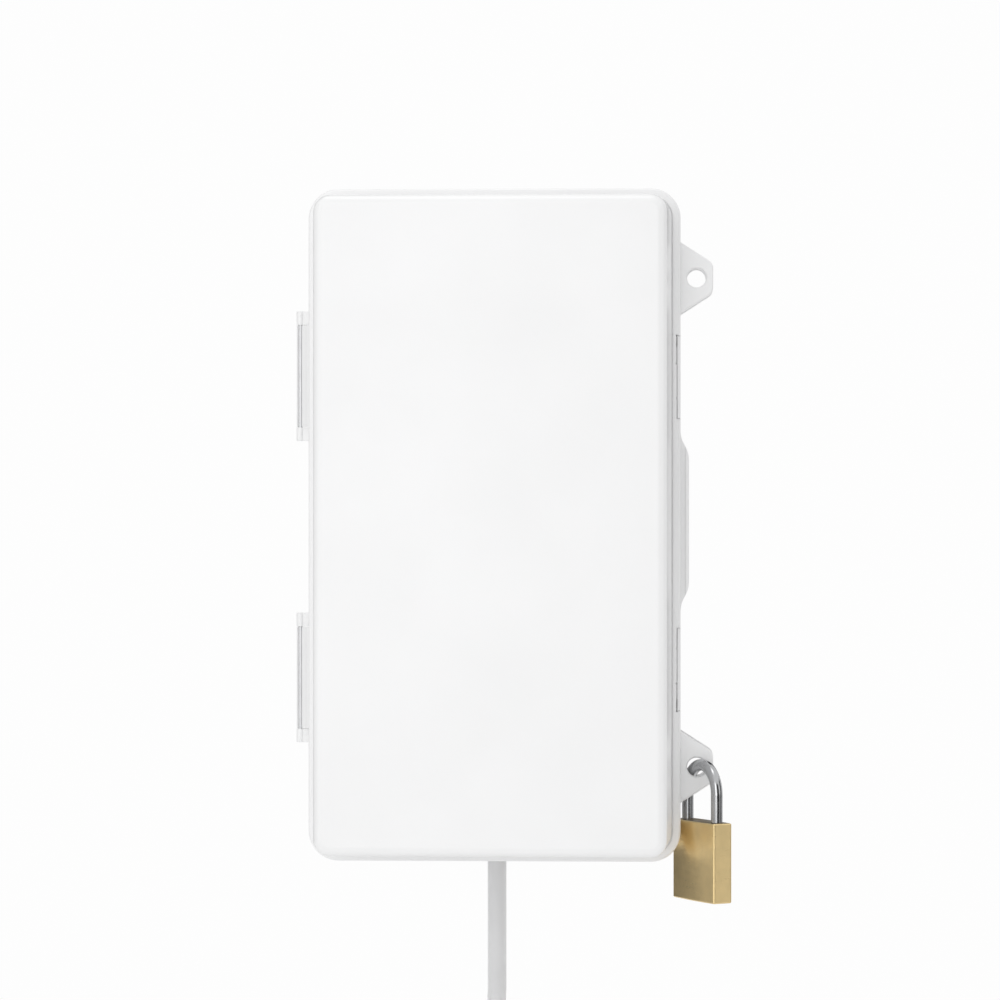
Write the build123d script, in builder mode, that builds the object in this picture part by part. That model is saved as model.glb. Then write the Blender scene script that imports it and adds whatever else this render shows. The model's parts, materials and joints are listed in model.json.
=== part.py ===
from build123d import *
import os
from math import cos, pi, radians, sin, sqrt, tan

# A weatherproof box for a power strip, fixed to a wall.
# Millimetres. X runs to the right, Z runs up and the wall is the plane Y = 0.
# A depth is a distance in front of the wall, so depth 10 is the plane Y = -10.

# Box
box_width = 186.0
box_height = 336.0
box_depth = 112.0
box_corner = 15.0

# Small distances: play in a turning fit, play in a fixed fit, the gap between faces that touch,
# how far a cut runs past a face, and how far an arm or ear is rooted in the wall that carries it
running_play = 0.06
fixed_play = 0.02
contact_gap = 0.05
past_face = 1.0
root_in_wall = 1.5
root_in_skirt = 1.0

# Base
base_depth = 56.0
base_inset = 5.0
base_draft = 2.0
base_wall = 3.0
base_floor = 3.0
base_back_round = 4.0
base_flange_inset = 1.8
base_flange_depth = 52.5

# Lid
lid_inset = 4.3
lid_draft = 2.8
lid_wall = 2.8
lid_front_round = 4.5
flange_round = 1.2
skirt_thickness = 1.4
skirt_depth = 52.0
flange_depth = 60.0
foot_groove_width = 0.6
foot_groove_depth = 0.5
foot_groove_land = 0.05
parting_gap = 0.3

# Seal in the lid's groove
groove_width = 2.2
groove_inset = 3.8
groove_depth = 2.0
seal_play = 0.1

# Hinges on the left
hinge_x = -98.0
hinge_depth = 50.0
hinge_middle = -1.0
hinge_spacing = 151.5
hinge_pin_radius = 1.0
hinge_pin_recess = 0.5
hinge_pin_edge = 0.3
knuckle_radius = 1.9
knuckle_length = 6.75
knuckle_arm_front = 51.3
leaf_length = 50.7
leaf_play = 0.4
hook_radius = 1.8
hook_mouth_angle = 50.0
web_root = 0.8
web_back = (1.0, 1.45)
web_front = (1.3, 1.2)
web_back_step = 0.6
web_front_step = 2.6

# Ears for padlocks on the right
ear_middle = 1.25
ear_spacing = 244.5
ear_tip_x = 109.3
ear_hole_x = 101.0
ear_hole_radius = 4.7
ear_root_half = 18.0
ear_tip_half = 7.5
ear_corner = 5.0
ear_thickness = 2.5
ear_gap = 10.0
ear_edge = 0.6

# Thumb lip between the ears
lip_x = 97.2
lip_root_half = 45.5
lip_tip_half = 30.0
lip_middle = 2.0
lip_thickness = 2.4
lip_bead = 1.6
lip_bead_height = 0.8

# Side latches
latch_middle = 0.85
latch_reach = 72.8
latch_length = 41.1
latch_pivot_x = 90.6
latch_pivot_depth = 46.0
latch_barrel_radius = 2.2
latch_inner_x = 91.4
latch_round = 0.9
latch_pin_radius = 0.9
latch_pin_recess = 0.3
latch_notch_width = 2.0
latch_slit_wide_x = 90.9
latch_slit_narrow_x = 91.1
latch_slit_change = 79.8
latch_play = 0.2
latch_knuckle_length = 3.0
slit_dot_x = 91.2
slit_dots = {79.8: 0.65, 62.35: 0.45}
slit_end_dot_radius = 0.5
tooth_x = 90.3
tooth_back = 57.5
tooth_front = 59.1
tooth_slope = 0.5
tooth_root = 0.2
tooth_length = 30.0
tooth_play = 0.3
tooth_channel_x = 89.9
tooth_channel_width = 2.2

# Holes for wall screws
wall_hole_radius = 2.75
wall_hole_spacing_x = 140.0
wall_hole_spacing_z = 290.0
wall_boss_radius = 6.5
wall_boss_height = 3.0

# Mains cord
cord_radius = 4.75
cord_depth = 26.0
cord_hole_radius = 6.5

# Cable gland in the bottom wall
gland_top = -150.0
gland_seat_inside = -156.5
gland_seat_outside = -164.0
gland_exit = -169.0
gland_boss_radius = 13.0
gland_hole_radius = 8.0
gland_flange = 1.8
gland_flange_radius = 11.5
gland_spigot = 2.0
gland_spigot_radius = 7.8
gland_bore_radius = 6.8
gland_bore_change = -158.0
gland_neck_radius = 5.0
gland_cap_radius = 11.2
gland_cap_hole_radius = 4.95
gland_cap_floor = 1.1
gland_cap_edge = 0.8
gland_nut_radius = 12.5
gland_nut_height = 4.0
gland_thread_radius = 7.85
sleeve_radius = 6.7
sleeve_lift = 1.4
sleeve_play = 0.2

# Cable clamp
clamp_middle = -142.0
clamp_height = 10.0
clamp_half_width = 15.0
clamp_foot_half = 8.0
clamp_front = 1.5
clamp_back = 2.5
clamp_hollow = 1.0
clamp_wall = 2.6
clamp_screw_spacing = 21.0
clamp_screw_length = 14.0
clamp_screw_head = 3.2
clamp_hole_floor = 10.0
screw_radius = 1.6
thread_radius = 1.62
screw_hole_radius = 2.1

# Power strip
strip_width = 56.0
strip_length = 250.0
strip_back = 5.0
strip_split = cord_depth
strip_front = 43.0
strip_wall = 2.0
strip_corner = 6.0
strip_round = 2.5
tab_length = 9.0
tab_width = 20.0
tab_thickness = 2.5
tab_root = 1.0
tab_screw_reach = 4.0
tab_screw_spacing = 12.0
tab_screw_length = 4.3
tab_screw_head = 3.0
tab_hole_radius = 2.0
tab_boss_radius = 3.5
support_heights = (106.0, 72.0, 26.0, -20.0, -64.0)
support_thickness = 2.0
support_inside = 4.0
support_outside = 14.0

# Socket cups
cup_middles = (95.0, 49.0, 3.0, -43.0)
cup_radius = 19.7
cup_outer_radius = 21.5
cup_play = 0.1
cup_lip_radius = 22.8
cup_lip_height = 1.2
cup_lip_round = 0.5
cup_floor = 25.5
cup_floor_thickness = 2.5
cup_pin_hole_radius = 2.75
cup_slot_length = 4.8
cup_slot_width = 1.6
pin_spacing = 19.0
pin_radius = 2.4
pin_length = 19.0

# Bars and earth clips
bar_top = 112.0
bar_bottom = -70.0
bar_back = 15.0
bar_thickness = 0.8
bar_sleeve_radius = 3.3
bar_sleeve_bore = 2.45
bar_sleeve_play = 0.2
earth_bar_back = 11.0
earth_bar_width = 5.0
earth_post_width = 2.0
clip_back = 21.8
clip_front = 40.0
clip_width = 4.0
clip_reach = 18.3

# Rocker switch
switch_middle = -90.0
switch_back = 29.0
switch_floor = 32.0
switch_half_width = 10.5
switch_half_height = 14.0
switch_rim = 1.5
switch_wall = 1.7
switch_end_wall = 1.4
rocker_pivot_depth = 39.5
rocker_pivot_radius = 1.2
rocker_tilt = 8.0
rocker_half_width = 8.5
rocker_half = 11.9
rocker_axle_x = 10.2
rocker_shoulder = 1.2
rocker_end_height = 3.0
rocker_middle_height = 1.7
rocker_belly = -4.4

# Grommet in the strip's lower end
grommet_flange_radius = 8.5
grommet_neck_radius = 6.4
grommet_top = -121.0
grommet_bottom = -128.0

# Cord and cores inside
inner_cord_top = -117.0
core_radius = 1.2
core_start = 2.4
core_gap = 0.1
core_straight = 9.0
core_reach = 30.0
core_overlap = 8.0
core_bend = 6.0

# Padlock on the lower ear of the lid
lock_turn = 60.0
lock_width = 40.0
lock_height = 39.5
lock_thickness = 12.4
lock_bulge = 1.0
lock_corner = 1.0
lock_edge = 0.5
lock_top = -147.5
shackle_radius = 2.9
shackle_bend = 14.15
shackle_crossing = 5.5
shackle_rise = 0.3
shackle_end = 0.6
shackle_play = 0.08
heel_length = 26.0
toe_length = 7.5
hole_spare = 1.0
notch_radius = 1.9
notch_height = 3.6
notch_half_width = 4.0
plug_radius = 4.2
plug_length = 22.0
plug_recess = 0.3
plug_end_play = 0.5
plug_edge = 0.4
keyway_length = 6.0
keyway_width = 1.1
keyway_depth = 15.0
keyway_step = (1.6, 0.7)
keyway_step_size = (1.4, 1.2)

# Free cord, wound up below the box
coil_outer = 60.0
coil_pitch = 10.2
coil_middle_z = -346.0
coil_turns_in = 2.0
coil_turns_out = 2.125
coil_climb_turns = 0.5
coil_start_angle = 135.0
steps_per_turn = 4
bend_share = 0.45
tie_width = 10.0
tie_thickness = 1.2
tie_play = 0.9
tie_corner = 4.0
tie_angles = (60.0, 250.0)

# Mains plug on the cord's end
plug_body_radius = 18.6
plug_body_length = 34.0
plug_waist_radius = 17.4
plug_waist_length = 22.0
plug_step_length = 24.0
plug_shoulder = (14.5, 9.0)
relief_length = 26.0
relief_top_radius = 5.95
relief_end_radius = 8.0
relief_grooves = 5
relief_groove_pitch = 4.4
relief_groove_width = 1.9
relief_groove_depth = 0.9
plug_channel_width = 9.0
plug_channel_depth = 2.0
plug_channel_length = 17.0
plug_strip_width = 5.0
plug_strip_thickness = 0.7
plug_strip_length = 16.8
plug_strip_inset = 1.6
plug_pin_hole = 12.0
plug_pin_root = 11.8
plug_pin_round = 1.6

half_width = box_width / 2
half_height = box_height / 2
cord_diameter = 2 * cord_radius
hinge_centres = (hinge_middle + hinge_spacing / 2, hinge_middle - hinge_spacing / 2)
ear_centres = (ear_middle + ear_spacing / 2, ear_middle - ear_spacing / 2)
front_ear_back = skirt_depth
rear_ear_back = front_ear_back - ear_gap - ear_thickness
lid_back = base_depth + parting_gap
tab_screw_height = strip_length / 2 + tab_screw_reach
strip_inner_width = strip_width - 2 * strip_wall
strip_inner_length = strip_length - 2 * strip_wall
cup_back = cup_floor - cup_floor_thickness


def front_plane(depth):
    """A plane parallel to the wall, whose X and Y are the box's X and Z and which faces the front."""
    return Plane.XZ.offset(depth)


def back_plane(depth):
    """The same plane, facing the wall."""
    return Plane(origin=(0, -depth, 0), x_dir=(1, 0, 0), z_dir=(0, 1, 0))


def level_plane(height):
    """A level plane, whose X and Y are the box's X and Y."""
    return Plane.XY.offset(height)


def rim(inset, mode=Mode.ADD):
    """The box's outline, moved in by inset."""
    RectangleRounded(
        box_width - 2 * inset, box_height - 2 * inset, box_corner - inset, mode=mode
    )


def patch(low_x, high_x, low_y, high_y, mode=Mode.ADD):
    """A rectangle given by its sides."""
    with Locations(((low_x + high_x) / 2, (low_y + high_y) / 2)):
        Rectangle(high_x - low_x, high_y - low_y, mode=mode)


def disc(x, y, radius, mode=Mode.ADD):
    """A circle given by its middle."""
    with Locations((x, y)):
        Circle(radius, mode=mode)


def strip_outline(inset):
    """The power strip's outline, moved in by inset."""
    RectangleRounded(
        strip_width - 2 * inset, strip_length - 2 * inset, strip_corner - inset
    )


def keep(piece, name):
    """Labels a finished piece and writes its file."""
    piece.part.label = name
    export_step(piece.part, f"parts/{name}.step")


os.makedirs("parts", exist_ok=True)

# The outline of an ear with its hole, which the base and the lid both use

ear_root_x = half_width - root_in_skirt
with BuildSketch() as ear_outline:
    with BuildLine():
        Polyline(
            (ear_root_x, ear_root_half),
            (half_width, ear_root_half),
            (ear_tip_x, ear_tip_half),
            (ear_tip_x, -ear_tip_half),
            (half_width, -ear_root_half),
            (ear_root_x, -ear_root_half),
            close=True,
        )
    make_face()
    fillet(ear_outline.vertices().group_by(Axis.X)[-1], ear_corner)
    disc(ear_hole_x, 0, ear_hole_radius, Mode.SUBTRACT)


def pan_screw(shank_length, shank_radius, head_radius):
    """A cross-head screw that points at the wall, with the underside of its head at the origin."""
    head_height = 0.6 * head_radius
    slot_length = 1.1 * head_radius
    slot_width = 0.25 * head_radius
    with BuildPart() as screw:
        with BuildSketch(front_plane(-shank_length)):
            Circle(shank_radius)
        extrude(amount=shank_length)
        with BuildSketch(front_plane(0)):
            Circle(head_radius)
        extrude(amount=head_height)
        with BuildSketch(front_plane(head_height)):
            Rectangle(slot_length, slot_width)
            Rectangle(slot_width, slot_length)
        extrude(amount=-0.6 * head_height, mode=Mode.SUBTRACT)
    return screw.part


# Base shell: a deep tray with a flange

with BuildPart() as base_moulding:
    with BuildSketch(back_plane(base_depth)):
        rim(base_inset)
    extrude(amount=base_depth, taper=base_draft)
    fillet(base_moulding.edges().group_by(Axis.Y)[-1], base_back_round)
    with BuildSketch(front_plane(base_flange_depth)):
        rim(base_flange_inset)
    extrude(amount=base_depth - base_flange_depth)
    with BuildSketch(back_plane(base_depth)):
        rim(base_inset + base_wall)
    extrude(amount=base_depth - base_floor, taper=base_draft, mode=Mode.SUBTRACT)

    # Notches in the flange for the latches
    with BuildSketch(front_plane(base_flange_depth)):
        for side in (1, -1):
            notch_place = (
                latch_slit_wide_x + latch_notch_width / 2,
                latch_middle + side * latch_reach,
            )
            with Locations(notch_place):
                Rectangle(latch_notch_width, latch_length + 2 * latch_play)
    extrude(amount=base_depth - base_flange_depth, mode=Mode.SUBTRACT)

    # Holes for the wall screws
    with BuildSketch(front_plane(0)):
        with GridLocations(wall_hole_spacing_x, wall_hole_spacing_z, 2, 2):
            Circle(wall_hole_radius)
    extrude(amount=base_floor, mode=Mode.SUBTRACT)

    # Level seats for the cable gland on both faces of the bottom wall, and its hole
    with BuildSketch(level_plane(gland_seat_outside)):
        disc(0, -cord_depth, gland_boss_radius)
    extrude(amount=gland_seat_inside - gland_seat_outside)
    with BuildSketch(level_plane(gland_seat_outside)):
        disc(0, -cord_depth, gland_hole_radius)
    extrude(amount=gland_seat_inside - gland_seat_outside, mode=Mode.SUBTRACT)

# The base's back and its walls are one moulding that has two files, cut apart at the floor.

with BuildPart() as base_back:
    with BuildSketch(front_plane(0)):
        rim(0)
    extrude(amount=base_floor)
    add(base_moulding.part, mode=Mode.INTERSECT)
keep(base_back, "base_back")

with BuildPart() as base_shell:
    add(base_moulding.part)
    with BuildSketch(front_plane(0)):
        rim(0)
    extrude(amount=base_floor, mode=Mode.SUBTRACT)
keep(base_shell, "base_shell")

# What stands on the base's floor, moulded in one with it. It has its own file.

with BuildPart() as floor_bosses:
    # Bosses round the wall screws
    with BuildSketch(front_plane(base_floor)):
        with GridLocations(wall_hole_spacing_x, wall_hole_spacing_z, 2, 2):
            Circle(wall_boss_radius)
            Circle(wall_hole_radius, mode=Mode.SUBTRACT)
    extrude(amount=wall_boss_height)

    # Seat under the cable clamp, with two screw holes
    clamp_seat = cord_depth - cord_radius - contact_gap
    with BuildSketch(front_plane(base_floor)):
        with Locations((0, clamp_middle)):
            Rectangle(2 * clamp_half_width, clamp_height)
    extrude(amount=clamp_seat - base_floor)
    with BuildSketch(front_plane(clamp_hole_floor)):
        with Locations((0, clamp_middle)):
            with GridLocations(clamp_screw_spacing, 1, 2, 1):
                Circle(thread_radius)
    extrude(amount=clamp_seat - clamp_hole_floor, mode=Mode.SUBTRACT)

    # Bosses under the strip's end tabs
    for height in (tab_screw_height, -tab_screw_height):
        with BuildSketch(front_plane(base_floor)):
            with Locations((0, height)):
                with GridLocations(tab_screw_spacing, 1, 2, 1):
                    Circle(tab_boss_radius)
                    Circle(thread_radius, mode=Mode.SUBTRACT)
        extrude(amount=strip_back - base_floor)
keep(floor_bosses, "floor_bosses")

# Eyes for the hinge pins and the latch pins, moulded on the base. They have their own files.

with BuildPart() as hinge_eyes:
    for centre in hinge_centres:
        for low in (
            centre + leaf_length / 2 + leaf_play,
            centre - leaf_length / 2 - leaf_play - knuckle_length,
        ):
            with BuildSketch(level_plane(low)):
                disc(hinge_x, -hinge_depth, knuckle_radius)
                patch(
                    hinge_x,
                    -half_width + base_inset + root_in_wall,
                    -knuckle_arm_front,
                    -hinge_depth + knuckle_radius,
                )
                disc(hinge_x, -hinge_depth, hinge_pin_radius + fixed_play, Mode.SUBTRACT)
            extrude(amount=knuckle_length)
    add(base_shell.part, mode=Mode.SUBTRACT)
keep(hinge_eyes, "hinge_eyes")

with BuildPart() as latch_eyes:
    for side in (1, -1):
        centre = latch_middle + side * latch_reach
        for low in (
            centre + latch_length / 2 + latch_play,
            centre - latch_length / 2 - latch_play - latch_knuckle_length,
        ):
            with BuildSketch(level_plane(low)):
                patch(
                    half_width - base_inset - root_in_wall,
                    latch_pivot_x,
                    -latch_pivot_depth - latch_barrel_radius,
                    -latch_pivot_depth + latch_barrel_radius,
                )
                disc(latch_pivot_x, -latch_pivot_depth, latch_barrel_radius)
                disc(
                    latch_pivot_x,
                    -latch_pivot_depth,
                    latch_pin_radius + fixed_play,
                    Mode.SUBTRACT,
                )
            extrude(amount=latch_knuckle_length)
    add(base_shell.part, mode=Mode.SUBTRACT)
keep(latch_eyes, "latch_eyes")

# Lid shell: a deep cover with a flange and a skirt round the base's flange

with BuildPart() as lid_shell:
    with BuildSketch(front_plane(skirt_depth)):
        rim(0)
    extrude(amount=flange_depth - skirt_depth)
    fillet(lid_shell.edges().group_by(Axis.Y)[0], flange_round)
    with BuildSketch(front_plane(lid_back)):
        rim(lid_inset)
    extrude(amount=box_depth - lid_back, taper=lid_draft)
    fillet(lid_shell.edges().group_by(Axis.Y)[0], lid_front_round)
    with BuildSketch(front_plane(skirt_depth)):
        rim(skirt_thickness)
    extrude(amount=lid_back - skirt_depth, mode=Mode.SUBTRACT)
    with BuildSketch(front_plane(lid_back)):
        rim(lid_inset + lid_wall)
    extrude(amount=box_depth - lid_back - lid_wall, taper=lid_draft, mode=Mode.SUBTRACT)

    # Fine groove round the foot of the front's wall
    foot_inset = lid_inset + (flange_depth - lid_back) * tan(radians(lid_draft))
    groove_edge = foot_inset - foot_groove_land
    with BuildSketch(front_plane(flange_depth - foot_groove_depth)):
        rim(groove_edge - foot_groove_width)
        rim(groove_edge, Mode.SUBTRACT)
    extrude(amount=foot_groove_depth, mode=Mode.SUBTRACT)

    # Groove for the seal
    with BuildSketch(front_plane(lid_back)):
        rim(groove_inset)
        rim(groove_inset + groove_width, Mode.SUBTRACT)
    extrude(amount=groove_depth, mode=Mode.SUBTRACT)

    # Slits for the latches, and channels for their teeth
    channel_middle = tooth_channel_x + tooth_channel_width / 2
    for side in (1, -1):
        with BuildSketch(front_plane(skirt_depth - past_face)):
            near = latch_middle + side * (latch_reach - latch_length / 2 - latch_play)
            far = latch_middle + side * (latch_reach + latch_length / 2 + latch_play)
            change = latch_middle + side * latch_slit_change
            low, high = sorted((change, far))
            patch(latch_slit_wide_x, half_width + past_face, low, high)
            low, high = sorted((near, change))
            patch(latch_slit_narrow_x, half_width + past_face, low, high)
            disc(slit_dot_x, far, slit_end_dot_radius)
            for place, dot_radius in slit_dots.items():
                disc(slit_dot_x, latch_middle + side * place, dot_radius)
        extrude(amount=flange_depth - skirt_depth + 2 * past_face, mode=Mode.SUBTRACT)
        with BuildSketch(front_plane(skirt_depth - past_face)):
            with Locations((channel_middle, latch_middle + side * latch_reach)):
                Rectangle(tooth_channel_width, tooth_length + 2 * latch_play)
        extrude(amount=tooth_front + tooth_play - skirt_depth + past_face, mode=Mode.SUBTRACT)

    # Thumb lip with a bead along its outer edge
    lip_top = lip_middle + lip_root_half
    lip_bottom = lip_middle - lip_root_half
    lip_tip_top = lip_middle + lip_tip_half
    lip_tip_bottom = lip_middle - lip_tip_half
    lip_bend = (lip_root_half - lip_tip_half) / 2
    lip_root_x = half_width - root_in_skirt
    with BuildSketch(front_plane(skirt_depth)):
        with BuildLine():
            Line((lip_root_x, lip_bottom), (lip_root_x, lip_top))
            Line((lip_root_x, lip_top), (half_width, lip_top))
            Bezier(
                (half_width, lip_top),
                (half_width, lip_top - lip_bend),
                (lip_x, lip_tip_top + lip_bend),
                (lip_x, lip_tip_top),
            )
            Line((lip_x, lip_tip_top), (lip_x, lip_tip_bottom))
            Bezier(
                (lip_x, lip_tip_bottom),
                (lip_x, lip_tip_bottom - lip_bend),
                (half_width, lip_bottom + lip_bend),
                (half_width, lip_bottom),
            )
            Line((half_width, lip_bottom), (lip_root_x, lip_bottom))
        make_face()
    extrude(amount=lip_thickness + lip_bead_height)
    with BuildSketch(front_plane(skirt_depth + lip_thickness)):
        patch(half_width, lip_x - lip_bead, lip_bottom, lip_top)
    extrude(amount=lip_bead_height, mode=Mode.SUBTRACT)

    # Hinge leaves, each a web with a hook round the pin, open to the front
    mouth_reach = hook_radius + past_face
    mouth_half = mouth_reach * tan(radians(hook_mouth_angle))
    for centre in hinge_centres:
        with BuildSketch(level_plane(centre - leaf_length / 2)):
            disc(hinge_x, -hinge_depth, hook_radius)
            with BuildLine():
                Polyline(
                    (-half_width + web_root, -skirt_depth),
                    (-half_width, -skirt_depth + web_back_step),
                    (hinge_x + web_back[0], -hinge_depth + web_back[1]),
                    (hinge_x + web_front[0], -hinge_depth - web_front[1]),
                    (-half_width, -skirt_depth - web_front_step),
                    (-half_width + web_root, -skirt_depth - web_front_step),
                    close=True,
                )
            make_face()
            disc(hinge_x, -hinge_depth, hinge_pin_radius + running_play, Mode.SUBTRACT)
            with BuildLine():
                Polyline(
                    (hinge_x, -hinge_depth),
                    (hinge_x - mouth_half, -hinge_depth - mouth_reach),
                    (hinge_x + mouth_half, -hinge_depth - mouth_reach),
                    close=True,
                )
            make_face(mode=Mode.SUBTRACT)
        extrude(amount=leaf_length)
keep(lid_shell, "lid_shell")

# Ears for padlocks, moulded on the sides of the lid and the base. Each has its own file.

for name, centre in zip(("ear_upper", "ear_lower"), ear_centres):
    with BuildPart() as lid_ear:
        with BuildSketch(front_plane(front_ear_back)):
            with Locations((0, centre)):
                add(ear_outline.sketch)
        extrude(amount=ear_thickness)
        ear_edges = lid_ear.edges().group_by(Axis.Y)
        outline = [edge for edge in ear_edges[0] if edge.center().X > half_width + ear_edge]
        hole = [edge for edge in ear_edges[-1] if edge.is_closed]
        chamfer(outline + hole, ear_edge)
        add(lid_shell.part, mode=Mode.SUBTRACT)
    keep(lid_ear, f"lid_{name}")

    with BuildPart() as base_ear:
        with BuildSketch(front_plane(rear_ear_back)):
            with Locations((0, centre)):
                add(ear_outline.sketch)
            patch(
                half_width - base_inset - root_in_wall,
                half_width,
                centre - ear_root_half,
                centre + ear_root_half,
            )
        extrude(amount=ear_thickness)
        add(base_shell.part, mode=Mode.SUBTRACT)
    keep(base_ear, f"base_{name}")

# Soft seal in the lid's groove

with BuildPart() as lid_seal:
    with BuildSketch(front_plane(base_depth + contact_gap)):
        rim(groove_inset + seal_play)
        rim(groove_inset + groove_width - seal_play, Mode.SUBTRACT)
    extrude(amount=parting_gap - contact_gap + groove_depth)
keep(lid_seal, "lid_seal")

# Steel hinge pins

pin_half = leaf_length / 2 + leaf_play + knuckle_length - hinge_pin_recess
for name, centre in zip(("hinge_pin_upper", "hinge_pin_lower"), hinge_centres):
    with BuildPart() as hinge_pin:
        with BuildSketch(level_plane(centre - pin_half)):
            disc(hinge_x, -hinge_depth, hinge_pin_radius)
        extrude(amount=2 * pin_half)
        chamfer(hinge_pin.edges().filter_by(GeomType.CIRCLE), hinge_pin_edge)
    keep(hinge_pin, name)

# Side latches: a barrel, a strip flush with the flange and a tooth behind it

latch_pin_half = latch_length / 2 + latch_play + latch_knuckle_length - latch_pin_recess
for name, side in (("latch_upper", 1), ("latch_lower", -1)):
    centre = latch_middle + side * latch_reach
    with BuildPart() as latch:
        with BuildSketch(level_plane(centre - latch_length / 2)):
            disc(latch_pivot_x, -latch_pivot_depth, latch_barrel_radius)
            patch(latch_inner_x, half_width, -flange_depth, -latch_pivot_depth)
            disc(
                latch_pivot_x,
                -latch_pivot_depth,
                latch_pin_radius + running_play,
                Mode.SUBTRACT,
            )
        extrude(amount=latch_length)
        front_edges = latch.edges().filter_by(Axis.Z).group_by(Axis.Y)[0]
        fillet(front_edges.sort_by(Axis.X)[-1], latch_round)
        with BuildSketch(level_plane(centre - tooth_length / 2)):
            with BuildLine():
                Polyline(
                    (latch_inner_x + tooth_root, -tooth_back),
                    (tooth_x, -tooth_back),
                    (tooth_x + tooth_slope, -tooth_front),
                    (latch_inner_x + tooth_root, -tooth_front),
                    close=True,
                )
            make_face()
        extrude(amount=tooth_length)
    keep(latch, name)

    with BuildPart() as latch_pin:
        with BuildSketch(level_plane(centre - latch_pin_half)):
            disc(latch_pivot_x, -latch_pivot_depth, latch_pin_radius)
        extrude(amount=2 * latch_pin_half)
    keep(latch_pin, name.replace("latch", "latch_pin"))

# Cable gland: bush, cap nut, lock nut and rubber sleeve

gland_bush_bottom = gland_seat_outside - gland_flange - gland_spigot
with BuildPart() as gland_bush:
    with BuildSketch(level_plane(gland_seat_outside - gland_flange)):
        disc(0, -cord_depth, gland_flange_radius)
    extrude(amount=gland_flange)
    with BuildSketch(level_plane(gland_bush_bottom)):
        disc(0, -cord_depth, gland_spigot_radius)
    extrude(amount=gland_top - gland_bush_bottom)
    with BuildSketch(level_plane(gland_bush_bottom)):
        disc(0, -cord_depth, gland_bore_radius)
    extrude(amount=gland_bore_change - gland_bush_bottom, mode=Mode.SUBTRACT)
    with BuildSketch(level_plane(gland_bore_change)):
        disc(0, -cord_depth, gland_neck_radius)
    extrude(amount=gland_top - gland_bore_change, mode=Mode.SUBTRACT)
keep(gland_bush, "gland_bush")

with BuildPart() as gland_cap:
    with BuildSketch(level_plane(gland_exit)):
        with Locations((0, -cord_depth)):
            RegularPolygon(gland_cap_radius, 6)
            Circle(gland_cap_hole_radius, mode=Mode.SUBTRACT)
    extrude(amount=gland_seat_outside - gland_flange - gland_exit - contact_gap)
    chamfer(gland_cap.faces().sort_by(Axis.Z)[0].outer_wire().edges(), gland_cap_edge)
    with BuildSketch(level_plane(gland_exit + gland_cap_floor)):
        disc(0, -cord_depth, gland_thread_radius)
    extrude(amount=gland_seat_outside - gland_exit, mode=Mode.SUBTRACT)
keep(gland_cap, "gland_cap")

with BuildPart() as gland_locknut:
    with BuildSketch(level_plane(gland_seat_inside)):
        with Locations((0, -cord_depth)):
            RegularPolygon(gland_nut_radius, 6)
            Circle(gland_thread_radius, mode=Mode.SUBTRACT)
    extrude(amount=gland_nut_height)
keep(gland_locknut, "gland_locknut")

with BuildPart() as gland_sleeve:
    with BuildSketch(level_plane(gland_exit + sleeve_lift)):
        disc(0, -cord_depth, sleeve_radius)
        disc(0, -cord_depth, cord_radius + contact_gap, Mode.SUBTRACT)
    extrude(amount=gland_bore_change - sleeve_play - gland_exit - sleeve_lift)
keep(gland_sleeve, "gland_sleeve")

# Cable clamp behind the gland, with its screws

clamp_clear = 2 * cord_radius
with BuildPart() as cable_clamp:
    with BuildSketch(level_plane(clamp_middle - clamp_height / 2)):
        patch(
            -clamp_half_width,
            clamp_half_width,
            -cord_depth - clamp_front,
            -cord_depth + clamp_back,
        )
        disc(0, -cord_depth, cord_radius + clamp_wall)
        patch(
            -clamp_foot_half,
            clamp_foot_half,
            -cord_depth + clamp_hollow,
            -cord_depth + clamp_clear,
            Mode.SUBTRACT,
        )
        disc(0, -cord_depth, cord_radius + contact_gap, Mode.SUBTRACT)
        patch(
            -cord_radius - contact_gap,
            cord_radius + contact_gap,
            -cord_depth,
            -cord_depth + clamp_clear,
            Mode.SUBTRACT,
        )
    extrude(amount=clamp_height)
    with BuildSketch(front_plane(cord_depth - clamp_back - past_face)):
        with Locations((0, clamp_middle)):
            with GridLocations(clamp_screw_spacing, 1, 2, 1):
                Circle(screw_hole_radius)
    extrude(amount=clamp_front + clamp_back + 2 * past_face, mode=Mode.SUBTRACT)
keep(cable_clamp, "cable_clamp")

clamp_screw_places = [
    (side * clamp_screw_spacing / 2, -cord_depth - clamp_front, clamp_middle) for side in (-1, 1)
]
with BuildPart() as clamp_screws:
    with Locations(*clamp_screw_places):
        add(pan_screw(clamp_screw_length, screw_radius, clamp_screw_head))
keep(clamp_screws, "clamp_screws")

# Strip housing: a tray with supports for the bars, and a cover with holes for cups and switch

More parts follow.
